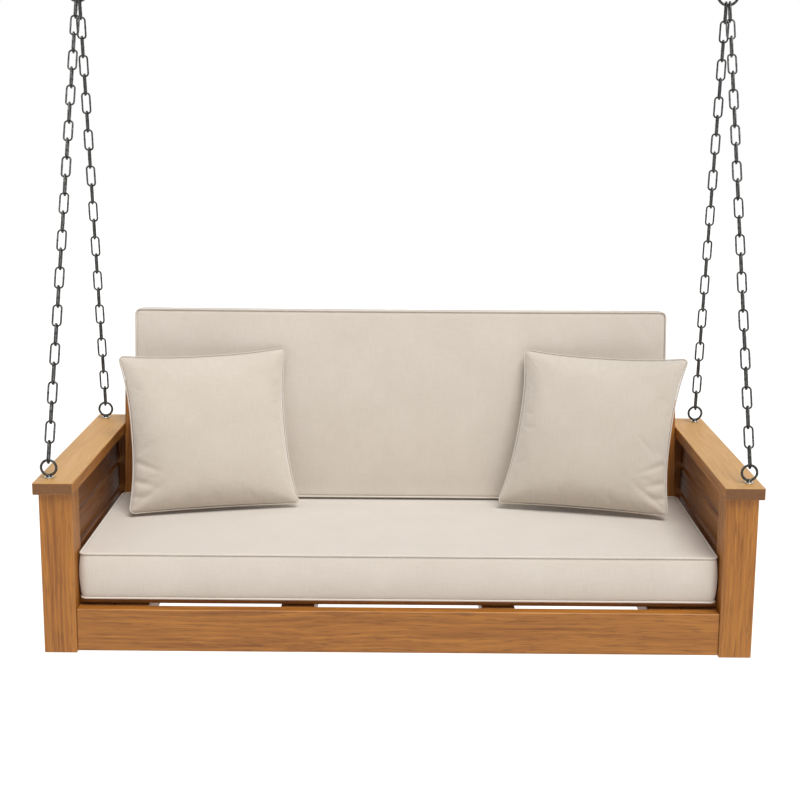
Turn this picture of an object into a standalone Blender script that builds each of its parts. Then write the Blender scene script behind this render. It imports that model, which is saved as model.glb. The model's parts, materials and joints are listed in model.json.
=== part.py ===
"""Porch swing: a teak bench with loose cushions, hung by four chains from two ceiling hooks.

Metres, +Z up, +X to the viewer's right, the open front faces -Y.  The origin is the middle of the
line between the two ceiling plates' top faces.  Inside this script a piece is first described in
the bench's own measures (height above the posts' feet, depth behind the posts' front faces) and is
then hung in place by its parent empty.
"""
import math

import bmesh
import bpy
from mathutils import Euler, Vector

GAP = 0.0003                    # kept between touching pieces

# Bench: half widths from the middle, depths from the posts' front faces, heights from their feet.
HALF_WIDTH = 0.950              # outer faces of the posts
BENCH_DEPTH = 0.858             # front face to back face of the posts
POST_SIDE = 0.088
ARM_UNDERSIDE = 0.441
ARM_THICKNESS = 0.033
ARM_OVERHANG_OUT = 0.013        # the arm board stands past the post on each side of it
ARM_OVERHANG_IN = 0.006
ARM_OVERHANG_FRONT = 0.011
ARM_OVERHANG_BACK = 0.013
BOARD_EDGE = 0.002              # chamfer on every board

RAIL_BOTTOM = 0.005
RAIL_TOP = 0.122
RAIL_THICKNESS = 0.036
RAIL_SETBACK = 0.004
BACK_RAIL_SETBACK = 0.018

ARM_SLAT_SETBACK = 0.0215       # arm slats and side rails stand this far inside the posts' faces
ARM_SLAT_THICKNESS = 0.022
ARM_SLAT_WIDTH = 0.074
ARM_SLAT_TOPS = (0.426, 0.339, 0.252)

BEARER_MIDDLES = (-0.719, -0.271, 0.271, 0.719)
BEARER_WIDTH = 0.090
BEARER_DEPTH = 0.060
SEAT_SLAT_COUNT = 7
SEAT_SLAT_FRONT = 0.057
SEAT_SLAT_WIDTH = 0.088
SEAT_SLAT_STEP = 0.107
SEAT_SLAT_THICKNESS = 0.018

# Back frame: its front plane leans back and passes the arm boards' top at this depth.
RECLINE = math.radians(10)
BACK_PLANE_DEPTH = 0.735
STILE_TOP = 0.670
STILE_WIDTH = 0.045
STILE_DEPTH = 0.068
MIDDLE_STILE_DEPTH = 0.045
BACK_SLAT_COUNT = 5
BACK_SLAT_WIDTH = 0.088
BACK_SLAT_THICKNESS = 0.020
BACK_SLAT_SPACE = 0.014

# Cushions.
SEAT_CUSHION_HALF_WIDTH = 0.855
SEAT_CUSHION_FRONT = 0.028
SEAT_CUSHION_DEPTH = 0.645
SEAT_CUSHION_THICKNESS = 0.129
BACK_CUSHION_HALF_WIDTH = 0.806
BACK_CUSHION_THICKNESS = 0.097
BACK_CUSHION_TOP = 0.841
CUSHION_EDGE = 0.012
CUSHION_AIR = 0.0012            # between a cushion and what it lies on
PILLOW_WIDTH = 0.504
PILLOW_HEIGHT = 0.475
PILLOW_HALF_THICKNESS = 0.062
PILLOW_LEAN = math.radians(22)
PILLOW_TURN = math.radians(14)
PILLOW_MIDDLE = (0.560, 0.530, 0.4975)
PILLOW_GRID = 10

# Eye screws, chains, rings and ceiling hooks.
EYE_X = 0.930
EYE_DEPTHS = {"front": 0.044, "back": 0.814}
EYE_RADIUS = 0.0205             # of the wire's centre line
EYE_WIRE = 0.0035               # wire radius
SHANK_RADIUS = 0.004
SHANK_LENGTH = 0.078            # below the arm board's top
BORE_RADIUS = 0.0044
WASHER_RADIUS = 0.012
WASHER_THICKNESS = 0.0035
LINK_COUNTS = {"front": 25, "back": 23}
LINK_PITCH = 0.054
LINK_WIDTH = 0.028
LINK_WIRE = 0.0025              # half the wire's thickness
LINK_BITE = 0.0006              # how far neighbouring links sink into each other
LINK_CORNER = 0.007
EYE_AIR = 0.0012                # between a bottom link and the eye that it holds
RING_AIR = 0.0026               # between a top link and the ring, which curves up on both sides
TOP_LINK_SHIFT = 0.005          # the two top links sit side by side on the ring
RING_RADIUS = 0.030
RING_WIRE = 0.004
HOOK_RADIUS = 0.017
HOOK_WIRE = 0.0045
HOOK_NECK = 0.030
PLATE_RADIUS = 0.036
PLATE_THICKNESS = 0.006
PLATE_SCREW_RADIUS = 0.003
PLATE_SCREW_SPREAD = 0.025

ARM_TOP = ARM_UNDERSIDE + ARM_THICKNESS
POST_INNER = HALF_WIDTH - POST_SIDE
ARM_INNER = POST_INNER - ARM_OVERHANG_IN
SEAT_TOP = RAIL_TOP + SEAT_SLAT_THICKNESS + GAP
CUSHION_TOP = SEAT_TOP + CUSHION_AIR + SEAT_CUSHION_THICKNESS
EYE_MIDDLE = ARM_TOP + WASHER_THICKNESS + EYE_RADIUS + EYE_WIRE + 0.001
EYE_TOP = EYE_MIDDLE + EYE_RADIUS


def hanging_point():
    """Depth and height of the rings' lowest wire, where a front and a back chain meet."""
    ends = EYE_WIRE + EYE_AIR + RING_WIRE + RING_AIR
    lengths = {end: count * LINK_PITCH - ends for end, count in LINK_COUNTS.items()}
    span = EYE_DEPTHS["back"] - EYE_DEPTHS["front"]
    run = (span ** 2 + lengths["front"] ** 2 - lengths["back"] ** 2) / (2 * span)
    rise = math.sqrt(lengths["front"] ** 2 - run ** 2 - TOP_LINK_SHIFT ** 2)
    return EYE_DEPTHS["front"] + run, EYE_TOP + rise


RING_DEPTH, RING_BOTTOM = hanging_point()
RING_TOP = RING_BOTTOM + 2 * RING_RADIUS
HOOK_BOTTOM = RING_TOP - RING_WIRE - HOOK_WIRE - GAP
HOOK_MIDDLE = HOOK_BOTTOM + HOOK_RADIUS
PLATE_UNDERSIDE = HOOK_MIDDLE + HOOK_RADIUS + HOOK_NECK
CEILING = PLATE_UNDERSIDE + PLATE_THICKNESS
SWAY_AXIS = RING_BOTTOM + RING_WIRE + RING_AIR + LINK_WIRE
SEAT_AXIS = EYE_TOP - EYE_WIRE - EYE_AIR - LINK_WIRE


def empty_scene():
    for old in list(bpy.data.objects):
        bpy.data.objects.remove(old, do_unlink=True)


def material(name, colour, roughness, metallic=0.0):
    finish = bpy.data.materials.new(name)
    finish.use_nodes = True
    shader = finish.node_tree.nodes["Principled BSDF"]
    shader.inputs["Base Color"].default_value = (*colour, 1.0)
    shader.inputs["Roughness"].default_value = roughness
    shader.inputs["Metallic"].default_value = metallic
    finish.diffuse_color = (*colour, 1.0)
    return finish


def in_room(point):
    """Bench measures to the swing's own frame, whose origin is on the ceiling line."""
    x, depth, height = point
    return Vector((x, depth - RING_DEPTH, height - CEILING))


def joint_empty(name, point, parent=None):
    """An empty on a joint's axis; the pieces that turn on it are its children."""
    empty = bpy.data.objects.new(name, None)
    empty.empty_display_size = 0.05
    bpy.context.scene.collection.objects.link(empty)
    empty["place"] = in_room(point)
    hang(empty, parent)
    return empty


def hang(obj, parent):
    place = Vector(obj["place"])
    if parent is not None:
        obj.parent = parent
        place = place - Vector(parent["place"])
    obj.location = place


def piece(name, shape, point, parent, finish, smooth=False):
    """One sub-part: a bmesh whose vertices are relative to point, hung on its joint's empty."""
    mesh = bpy.data.meshes.new(name)
    shape.to_mesh(mesh)
    shape.free()
    mesh.materials.append(finish)
    if smooth:
        mesh.shade_smooth()
        mesh.set_sharp_from_angle(angle=math.radians(40))
    obj = bpy.data.objects.new(name, mesh)
    bpy.context.scene.collection.objects.link(obj)
    obj["place"] = in_room(point)
    hang(obj, parent)
    return obj


def chamfer(obj, width, segments=1):
    edge = obj.modifiers.new("edge", "BEVEL")
    edge.width = width
    edge.segments = segments
    edge.limit_method = "ANGLE"
    edge.angle_limit = math.radians(40)


def box_shape(low, high):
    shape = bmesh.new()
    bmesh.ops.create_cube(shape, size=1.0)
    middle = (Vector(low) + Vector(high)) / 2
    size = Vector(high) - Vector(low)
    for vertex in shape.verts:
        vertex.co = Vector(a * b for a, b in zip(vertex.co, size)) + middle
    return shape


def board(name, low, high, parent, finish):
    """A squared board between two corners, its origin at its middle."""
    middle = (Vector(low) + Vector(high)) / 2
    shape = box_shape(Vector(low) - middle, Vector(high) - middle)
    obj = piece(name, shape, middle, parent, finish)
    chamfer(obj, BOARD_EDGE)
    return obj


def side_cut(name, outline, left, right, parent, finish, edge=BOARD_EDGE, segments=1):
    """A piece with one side outline of (depth, height) corners, carried from left to right."""
    middle = Vector(((left + right) / 2, outline[0][0], outline[0][1]))
    shape = bmesh.new()
    corners = [shape.verts.new(Vector((left, y, z)) - middle) for y, z in outline]
    face = shape.faces.new(corners)
    swept = bmesh.ops.extrude_face_region(shape, geom=[face])
    moved = [item for item in swept["geom"] if isinstance(item, bmesh.types.BMVert)]
    bmesh.ops.translate(shape, verts=moved, vec=(right - left, 0, 0))
    bmesh.ops.recalc_face_normals(shape, faces=shape.faces)
    obj = piece(name, shape, middle, parent, finish)
    chamfer(obj, edge, segments)
    return obj


def add_wire(shape, path, normal, radius, sides, closed=True):
    """Wire along a flat path.  normal is square to the path's plane; corners are mitred."""
    count = len(path)
    rings = []
    for index, point in enumerate(path):
        inner = closed or 0 < index < count - 1
        before = path[index - 1] if inner or index else point * 2 - path[1]
        after = path[(index + 1) % count] if inner or not index else point * 2 - path[-2]
        arriving = (point - before).normalized()
        leaving = (after - point).normalized()
        along = (arriving + leaving).normalized()
        outward = along.cross(normal) / along.dot(leaving)
        ring = []
        for side in range(sides):
            angle = 2 * math.pi * (side + 0.5) / sides
            offset = outward * math.cos(angle) + normal * math.sin(angle)
            ring.append(shape.verts.new(point + offset * radius))
        rings.append(ring)
    pairs = list(zip(rings, rings[1:]))
    if closed:
        pairs.append((rings[-1], rings[0]))
    for first, second in pairs:
        for side in range(sides):
            following = (side + 1) % sides
            shape.faces.new((first[side], first[following], second[following], second[side]))
    if not closed:
        shape.faces.new(rings[0])
        shape.faces.new(reversed(rings[-1]))
    bmesh.ops.recalc_face_normals(shape, faces=shape.faces)
    return shape


def circle_path(middle, radius, count, across, up):
    return [middle + radius * (across * math.cos(2 * math.pi * step / count)
                               + up * math.sin(2 * math.pi * step / count)) for step in range(count)]


def rod_shape(radius, low, high, sides=12):
    shape = bmesh.new()
    bmesh.ops.create_cone(shape, cap_ends=True, segments=sides, radius1=radius, radius2=radius,
                          depth=high - low)
    bmesh.ops.translate(shape, verts=shape.verts, vec=(0, 0, (low + high) / 2))
    return shape


def cut_or_join(obj, name, shape, point, parent, operation):
    """A Boolean with a hidden tool shape."""
    tool = piece(name, shape, point, parent, obj.data.materials[0])
    tool.hide_render = True
    tool.display_type = "WIRE"
    step = obj.modifiers.new(name, "BOOLEAN")
    step.operation = operation
    step.solver = "EXACT"
    step.object = tool


def side_name(sign):
    return "left" if sign < 0 else "right"


def make_posts_and_arms(seat, teak):
    back_face = BENCH_DEPTH - POST_SIDE
    for sign in (-1, 1):
        side = side_name(sign)
        left, right = sorted((sign * POST_INNER, sign * HALF_WIDTH))
        posts = {}
        for end, front in (("front", 0.0), ("back", back_face)):
            posts[end] = board(f"{end}_post_{side}", (left, front, 0.0),
                               (right, front + POST_SIDE, ARM_UNDERSIDE - GAP), seat, teak)
        left, right = sorted((sign * ARM_INNER, sign * (HALF_WIDTH + ARM_OVERHANG_OUT)))
        arm = board(f"arm_board_{side}", (left, -ARM_OVERHANG_FRONT, ARM_UNDERSIDE),
                    (right, BENCH_DEPTH + ARM_OVERHANG_BACK, ARM_TOP), seat, teak)
        for end, depth in EYE_DEPTHS.items():
            for wood in (arm, posts[end]):
                bore = rod_shape(BORE_RADIUS, -SHANK_LENGTH - 0.004, 0.01)
                cut_or_join(wood, f"bore_{wood.name}_{end}", bore, (sign * EYE_X, depth, ARM_TOP),
                            seat, "DIFFERENCE")


def make_arm_slats(seat, teak):
    front = POST_SIDE + GAP
    back = BENCH_DEPTH - POST_SIDE - GAP
    inner_face = POST_INNER + ARM_SLAT_SETBACK
    for sign in (-1, 1):
        side = side_name(sign)
        near, far = sorted((sign * inner_face, sign * (inner_face + ARM_SLAT_THICKNESS)))
        for row, top in zip(("upper", "middle", "lower"), ARM_SLAT_TOPS):
            board(f"arm_slat_{row}_{side}", (near, front, top - ARM_SLAT_WIDTH), (far, back, top),
                  seat, teak)
        near, far = sorted((sign * inner_face, sign * (inner_face + RAIL_THICKNESS)))
        board(f"side_rail_{side}", (near, front, RAIL_BOTTOM), (far, back, RAIL_TOP), seat, teak)


def make_seat_deck(seat, teak):
    reach = POST_INNER - GAP
    rail_back = RAIL_SETBACK + RAIL_THICKNESS
    back_rail_back = BENCH_DEPTH - BACK_RAIL_SETBACK
    back_rail_front = back_rail_back - RAIL_THICKNESS
    board("front_rail", (-reach, RAIL_SETBACK, RAIL_BOTTOM), (reach, rail_back, RAIL_TOP), seat, teak)
    board("back_rail", (-reach, back_rail_front, RAIL_BOTTOM), (reach, back_rail_back, RAIL_TOP),
          seat, teak)
    bearers = {f"seat_bearer_{number}": (middle - BEARER_WIDTH / 2, middle + BEARER_WIDTH / 2)
               for number, middle in enumerate(BEARER_MIDDLES, 1)}
    last = BEARER_MIDDLES[-1] + BEARER_WIDTH / 2 + GAP
    bearers["end_bearer_left"] = (-reach, -last)
    bearers["end_bearer_right"] = (last, reach)
    for name, (left, right) in bearers.items():
        board(name, (left, rail_back + GAP, RAIL_TOP - BEARER_DEPTH),
              (right, back_rail_front - GAP, RAIL_TOP), seat, teak)
    for number in range(SEAT_SLAT_COUNT):
        front = SEAT_SLAT_FRONT + number * SEAT_SLAT_STEP
        board(f"seat_slat_{number + 1}", (-reach, front, RAIL_TOP + GAP),
              (reach, front + SEAT_SLAT_WIDTH, SEAT_TOP), seat, teak)


def back_plane(height, behind=0.0):
    """Depth of the leaning plane at a height, or of one that lies square behind it."""
    return BACK_PLANE_DEPTH + (height - ARM_TOP) * math.tan(RECLINE) + behind / math.cos(RECLINE)


def leaning_outline(bottom, top, front, back):
    """Corners of a board that leans with the back: level foot, square top."""
    drop = (back - front) * math.sin(RECLINE)
    return [(back_plane(bottom, front), bottom), (back_plane(bottom, back), bottom),
            (back_plane(top - drop, back), top - drop), (back_plane(top, front), top)]


def square_outline(low, high, front, back):
    """Corners of a board between two distances up the leaning plane from its foot."""
    foot = Vector((back_plane(SEAT_TOP), SEAT_TOP))
    up = Vector((math.sin(RECLINE), math.cos(RECLINE)))
    into = Vector((math.cos(RECLINE), -math.sin(RECLINE)))
    corners = ((low, front), (low, back), (high, back), (high, front))
    return [tuple(foot + up * along + into * deep) for along, deep in corners]


def make_back_frame(seat, teak):
    outer = ARM_INNER - 2 * GAP
    inner = outer - STILE_WIDTH
    foot = SEAT_TOP + GAP
    for sign in (-1, 1):
        side = side_name(sign)
        left, right = sorted((sign * inner, sign * outer))
        side_cut(f"back_stile_{side}", leaning_outline(foot, STILE_TOP, 0.0, STILE_DEPTH),
                 left, right, seat, teak)
        middle = sign * BEARER_MIDDLES[2]
        side_cut(f"back_middle_stile_{side}",
                 leaning_outline(foot, STILE_TOP, BACK_SLAT_THICKNESS + GAP,
                                 BACK_SLAT_THICKNESS + MIDDLE_STILE_DEPTH),
                 middle - STILE_WIDTH / 2, middle + STILE_WIDTH / 2, seat, teak)
    first = 0.020
    for number in range(BACK_SLAT_COUNT):
        low = first + number * (BACK_SLAT_WIDTH + BACK_SLAT_SPACE)
        outline = square_outline(low, low + BACK_SLAT_WIDTH, 0.0, BACK_SLAT_THICKNESS)
        side_cut(f"back_slat_{number + 1}", outline, -inner + GAP, inner - GAP, seat, teak)


def make_cushions(seat_cushion, back_cushion, cloth):
    bottom = SEAT_TOP + CUSHION_AIR
    middle = Vector((0, SEAT_CUSHION_FRONT + SEAT_CUSHION_DEPTH / 2, (bottom + CUSHION_TOP) / 2))
    half = Vector((SEAT_CUSHION_HALF_WIDTH, SEAT_CUSHION_DEPTH / 2, (CUSHION_TOP - bottom) / 2))
    pad = piece("seat_cushion", box_shape(-half, half), middle, seat_cushion, cloth, smooth=True)
    chamfer(pad, CUSHION_EDGE, 2)
    outline = leaning_outline(CUSHION_TOP + CUSHION_AIR, BACK_CUSHION_TOP,
                              -BACK_CUSHION_THICKNESS - CUSHION_AIR, -CUSHION_AIR)
    side_cut("back_cushion", outline, -BACK_CUSHION_HALF_WIDTH, BACK_CUSHION_HALF_WIDTH,
             back_cushion, cloth, CUSHION_EDGE, 2)


def pillow_shape():
    """Two square faces that swell from a shared rim.  The rim's sides curve in between its
    corners, and the swelling falls to nothing at the rim as a root of the distance to it."""
    shape = bmesh.new()
    sheets = []
    for sign in (-1, 1):
        sheet = {}
        for row in range(PILLOW_GRID + 1):
            for column in range(PILLOW_GRID + 1):
                u = -math.cos(math.pi * column / PILLOW_GRID)
                v = -math.cos(math.pi * row / PILLOW_GRID)
                on_rim = row in (0, PILLOW_GRID) or column in (0, PILLOW_GRID)
                if on_rim and sheets:
                    sheet[row, column] = sheets[0][row, column]
                    continue
                x = u * PILLOW_WIDTH / 2 * (1 - 0.055 * (1 - v * v))
                z = v * PILLOW_HEIGHT / 2 * (1 - 0.055 * (1 - u * u))
                swell = ((1 - u * u) * (1 - v * v)) ** 0.5
                sheet[row, column] = shape.verts.new((x, sign * PILLOW_HALF_THICKNESS * swell, z))
        sheets.append(sheet)
        for row in range(PILLOW_GRID):
            for column in range(PILLOW_GRID):
                corners = (sheet[row, column], sheet[row, column + 1],
                           sheet[row + 1, column + 1], sheet[row + 1, column])
                shape.faces.new(corners[::-sign])
    return shape


def make_pillows(joints, cloth):
    x, depth, height = PILLOW_MIDDLE
    for sign, joint in zip((-1, 1), joints):
        pillow = piece(f"pillow_{side_name(sign)}", pillow_shape(), (sign * x, depth, height),
                       joint, cloth, smooth=True)
        pillow.rotation_euler = Euler((-PILLOW_LEAN, 0, -sign * PILLOW_TURN), "XYZ")


def make_eyes(seat, steel, bright):
    for sign in (-1, 1):
        for end, depth in EYE_DEPTHS.items():
            name = f"{end}_{side_name(sign)}"
            place = (sign * EYE_X, depth, ARM_TOP)
            middle = Vector((0, 0, EYE_MIDDLE - ARM_TOP))
            across = Vector((1, 0, 0))
            circle = circle_path(middle, EYE_RADIUS, 20, across, Vector((0, 0, 1)))
            eye = add_wire(bmesh.new(), circle, Vector((0, 1, 0)), EYE_WIRE, 8)
            screw = piece(f"eye_screw_{name}", eye, place, seat, steel, smooth=True)
            shank_top = EYE_MIDDLE - ARM_TOP - EYE_RADIUS
            cut_or_join(screw, f"shank_{name}", rod_shape(SHANK_RADIUS, -SHANK_LENGTH, shank_top, 10),
                        place, seat, "UNION")
            disc = rod_shape(WASHER_RADIUS, GAP, WASHER_THICKNESS, 16)
            washer = piece(f"washer_{name}", disc, place, seat, bright, smooth=True)
            cut_or_join(washer, f"washer_bore_{name}", rod_shape(BORE_RADIUS, -0.01, 0.01), place,
                        seat, "DIFFERENCE")


def add_link(shape, middle, along, across):
    """One chain link of square wire, a long ring with cut corners."""
    long_half = (LINK_PITCH - LINK_BITE) / 2 + LINK_WIRE
    wide_half = LINK_WIDTH / 2 - LINK_WIRE
    quarter = [(wide_half, long_half - LINK_CORNER), (wide_half - LINK_CORNER, long_half)]
    half = quarter + [(-x, z) for x, z in reversed(quarter)]
    corners = half + [(-x, -z) for x, z in half]
    path = [middle + across * x + along * z for x, z in corners]
    add_wire(shape, path, along.cross(across), LINK_WIRE * math.sqrt(2), 4)


def make_chain(name, bottom, top, count, axis_point, parent, steel):
    """Links from an eye's top wire to a ring's bottom wire; every second link is turned square.
    A union of the two sets of links makes one chain one solid."""
    along = (top - bottom).normalized()
    start = bottom - along * (EYE_WIRE + EYE_AIR) - axis_point
    edgewise = along.cross(Vector((1, 0, 0))).normalized()
    facing = edgewise.cross(along).normalized()
    edgewise_links = bmesh.new()
    facing_links = bmesh.new()
    for index in range(count):
        middle = start + along * (index + 0.5) * LINK_PITCH
        if index % 2:
            add_link(facing_links, middle, along, facing)
        else:
            add_link(edgewise_links, middle, along, edgewise)
    chain = piece(name, edgewise_links, axis_point, parent, steel)
    cut_or_join(chain, f"{name}_facing_links", facing_links, axis_point, parent, "UNION")


def make_chains(sways, steel):
    """A front and a back chain on each side, which meet on one ring."""
    for sign, sway in zip((-1, 1), sways):
        for end, shift in (("front", TOP_LINK_SHIFT), ("back", -TOP_LINK_SHIFT)):
            bottom = Vector((sign * EYE_X, EYE_DEPTHS[end], EYE_TOP))
            top = Vector((sign * (EYE_X + shift), RING_DEPTH, RING_BOTTOM))
            make_chain(f"chain_{end}_{side_name(sign)}", bottom, top, LINK_COUNTS[end],
                       Vector((sign * EYE_X, RING_DEPTH, SWAY_AXIS)), sway, steel)


def hook_path():
    """The hook's centre line in its own upright plane, as (across, up) from the arc's middle:
    a straight shank, a short bend and an arc that passes under and stops short of a full turn."""
    plate_top = HOOK_RADIUS + HOOK_NECK + PLATE_THICKNESS - 2 * GAP
    path = [(0.0, plate_top), (0.0, HOOK_RADIUS + 0.013), (0.003, HOOK_RADIUS + 0.006)]
    for degrees in range(55, -211, -24):
        angle = math.radians(degrees)
        path.append((HOOK_RADIUS * math.cos(angle), HOOK_RADIUS * math.sin(angle)))
    return [Vector((0, across, up)) for across, up in path]


def make_ceiling_fittings(steel):
    for sign in (-1, 1):
        side = side_name(sign)
        x = sign * EYE_X
        hook = add_wire(bmesh.new(), hook_path(), Vector((1, 0, 0)), HOOK_WIRE, 8, closed=False)
        piece(f"ceiling_hook_{side}", hook, (x, RING_DEPTH, HOOK_MIDDLE), None, steel, smooth=True)
        plate = piece(f"ceiling_plate_{side}", rod_shape(PLATE_RADIUS, -PLATE_THICKNESS, 0.0, 32),
                      (x, RING_DEPTH, CEILING), None, steel, smooth=True)
        holes = bmesh.new()
        for across, radius in ((0, HOOK_WIRE + GAP), (-PLATE_SCREW_SPREAD, PLATE_SCREW_RADIUS),
                               (PLATE_SCREW_SPREAD, PLATE_SCREW_RADIUS)):
            before = set(holes.verts)
            bmesh.ops.create_cone(holes, cap_ends=True, segments=12, radius1=radius,
                                  radius2=radius, depth=4 * PLATE_THICKNESS)
            new = [vertex for vertex in holes.verts if vertex not in before]
            bmesh.ops.translate(holes, verts=new, vec=(across, 0, 0))
        cut_or_join(plate, f"plate_holes_{side}", holes, (x, RING_DEPTH, CEILING), None,
                    "DIFFERENCE")


def make_rings(swing, steel):
    for sign in (-1, 1):
        circle = circle_path(Vector((0, 0, -RING_RADIUS)), RING_RADIUS, 24, Vector((1, 0, 0)),
                             Vector((0, 0, 1)))
        ring = add_wire(bmesh.new(), circle, Vector((0, 1, 0)), RING_WIRE, 8)
        piece(f"hanging_ring_{side_name(sign)}", ring, (sign * EYE_X, RING_DEPTH, RING_TOP), swing,
              steel, smooth=True)


def main():
    empty_scene()
    teak = material("teak", (0.47, 0.24, 0.09), 0.55)
    cloth = material("oatmeal_canvas", (0.72, 0.64, 0.54), 0.9)
    steel = material("dark_steel", (0.09, 0.09, 0.085), 0.45, 0.9)
    bright = material("zinc_plate", (0.62, 0.62, 0.60), 0.35, 1.0)

    make_ceiling_fittings(steel)
    swing = joint_empty("swing_axis", (0, RING_DEPTH, RING_TOP))
    make_rings(swing, steel)
    sways = [joint_empty(f"sway_axis_{side_name(sign)}", (sign * EYE_X, RING_DEPTH, SWAY_AXIS), swing)
             for sign in (-1, 1)]
    make_chains(sways, steel)

    seat = joint_empty("seat_axis", (-EYE_X, EYE_DEPTHS["front"], SEAT_AXIS), sways[0])
    make_eyes(seat, steel, bright)
    make_posts_and_arms(seat, teak)
    make_arm_slats(seat, teak)
    make_seat_deck(seat, teak)
    make_back_frame(seat, teak)

    lift_height = SEAT_TOP + CUSHION_AIR
    seat_lift = joint_empty("seat_cushion_lift", (0, SEAT_CUSHION_FRONT, lift_height), seat)
    back_lift = joint_empty("back_cushion_lift", (0, back_plane(CUSHION_TOP), CUSHION_TOP), seat_lift)
    make_cushions(seat_lift, back_lift, cloth)
    x, depth, height = PILLOW_MIDDLE
    pillow_lifts = [joint_empty(f"pillow_lift_{side_name(sign)}", (sign * x, depth, height), seat_lift)
                    for sign in (-1, 1)]
    make_pillows(pillow_lifts, cloth)


main()
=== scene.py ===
"""Looks of the porch swing: teak boards, canvas cushions, chains and ceiling fittings.

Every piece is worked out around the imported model, in its frame: metres, +Z up, the open front
faces -Y, and the origin lies between the two ceiling plates' top faces.
"""
import json
import math

import bmesh
import bpy
import numpy as np
from mathutils import Matrix, Vector


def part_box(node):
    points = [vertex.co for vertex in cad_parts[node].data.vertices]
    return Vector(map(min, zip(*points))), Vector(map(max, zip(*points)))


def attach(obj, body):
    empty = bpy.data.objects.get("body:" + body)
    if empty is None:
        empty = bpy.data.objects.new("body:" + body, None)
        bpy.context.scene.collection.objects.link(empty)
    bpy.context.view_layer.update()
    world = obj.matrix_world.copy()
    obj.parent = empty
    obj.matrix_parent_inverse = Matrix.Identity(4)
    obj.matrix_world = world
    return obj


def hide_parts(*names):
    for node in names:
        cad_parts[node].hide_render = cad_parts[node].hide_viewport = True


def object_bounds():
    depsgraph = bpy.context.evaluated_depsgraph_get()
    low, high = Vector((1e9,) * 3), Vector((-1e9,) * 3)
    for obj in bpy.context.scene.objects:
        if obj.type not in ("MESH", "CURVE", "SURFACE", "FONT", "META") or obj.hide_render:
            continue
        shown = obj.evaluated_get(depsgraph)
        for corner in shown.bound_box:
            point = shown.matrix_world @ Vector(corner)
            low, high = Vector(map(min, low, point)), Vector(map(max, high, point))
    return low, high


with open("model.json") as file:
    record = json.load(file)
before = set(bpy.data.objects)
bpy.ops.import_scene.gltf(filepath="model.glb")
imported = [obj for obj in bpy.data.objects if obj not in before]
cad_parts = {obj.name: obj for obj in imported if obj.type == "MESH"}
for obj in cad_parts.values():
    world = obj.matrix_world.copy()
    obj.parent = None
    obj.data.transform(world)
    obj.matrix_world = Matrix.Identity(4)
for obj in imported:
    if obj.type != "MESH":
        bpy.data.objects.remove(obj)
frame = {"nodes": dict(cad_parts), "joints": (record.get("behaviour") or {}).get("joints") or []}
CAD_LOW, CAD_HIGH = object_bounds()

# Wood
BOARD_EDGE = 0.0032             # radius that the boards' edges are sanded to
SLAT_EDGE = 0.0024
EDGE_STEPS = 4                  # rings of faces round a sanded edge
RING_WIDTH = 0.0100             # between two growth rings of teak
# Painted shade, from 0 to 1: how much darker than the palest board these boards are made, standing
# in for the shadow under the arm boards, deeper on the left.
ARM_SLAT_PAINTED_SHADE = {"left": 0.60, "right": 0.30}
# Painted shade on the bearers, for the shadow under the seat cushion.
BEARER_PAINTED_SHADE = 0.6
END_BEARER_PAINTED_SHADE = 0.7

# Chains and fittings
LINK_PITCH = 0.054              # inner length of a link
LINK_WIRE = 0.0027              # wire radius
LINK_HALF_WIDTH = 0.0115        # middle of the link to the middle of its wire
LINK_END_RADIUS = 0.0090
EYE_WIRE = 0.0035
EYE_GAP = 0.0047                # from an eye's wire to the start of its chain, middle to end
RING_WIRE = 0.0040
HOOK_WIRE = 0.0045
WIRE_SIDES = 10

# Cushions
WELT_RADIUS = 0.0028
WELT_SIDES = 10
COVER_STEP = 0.0125             # cloth grid
CUSHION_CORNER = 0.014          # rounding of the panels' corners
SEAT_CROWN = 0.006
BACK_CROWN = 0.009              # the crown's top is where the pillows lean, its rim lies behind
BAND_BULGE = 0.006              # how far the foam pushes the middle of a cushion's band out
END_SHARE = 0.3                 # of the air's push that the ends keep beside the posts
SEAT_END_AIR = 0.0005           # the seat's seams lie this far inside its CAD solid's ends
SEAT_FREE = (0.27, 0.12)        # behind its middle: flat past the first, free before the second
BACK_PAST = 0.004               # the back cushion's seams lie this far out at its ends
BACK_PULL = 0.002               # how far its sides curve in
BACK_FREE = 0.07                # above its bottom, where it is free to bulge
CUSHION_PRESSURE = 4.0
SEAT_EXCESS = 0.004             # how much larger the cloth is than the shape it is sewn to
BACK_EXCESS = 0.006
THREAD = 0.0016                 # thread spacing; canvas has about 0.6 mm, too fine to show here
FRAMES = 20

# Pillows
PILLOW_WELT_RADIUS = 0.0021
PILLOW_CELLS = 72
PILLOW_LEAN = math.radians(22)
PILLOW_TURN = math.radians(14)
PILLOW_HALF = (0.252, 0.2375)
PILLOW_HALF_THICKNESS = 0.064
PILLOW_BACK_SHARE = 0.85        # of the front panel's swelling
PILLOW_FULLNESS = 0.46          # 0.5 gives an elliptic cross-section, less climbs steeper
PILLOW_PULL = (0.100, 0.060, 0.022)     # shares by which the sides, top and bottom curve in
PILLOW_CORNER = 0.08            # rounding of the corners, as a share of the half width
PILLOW_CURVE = 2.4              # over 2 the sides run straighter and turn out near the corners
PILLOW_AIR = 0.002              # between a pillow's welt and the back cushion
PILLOW_PRESSURE = 3.0
PILLOW_EXCESS = 0.006
# How far each pillow's corners are pulled out of square: bottom left, bottom right, top left and
# top right, across and up.
PILLOW_CORNERS = {"left": ((-0.001, 0.004), (-0.002, 0.006), (-0.010, 0.000), (-0.010, 0.010)),
                  "right": ((-0.003, 0.013), (-0.003, 0.009), (0.038, 0.010), (0.027, 0.004))}
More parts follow.
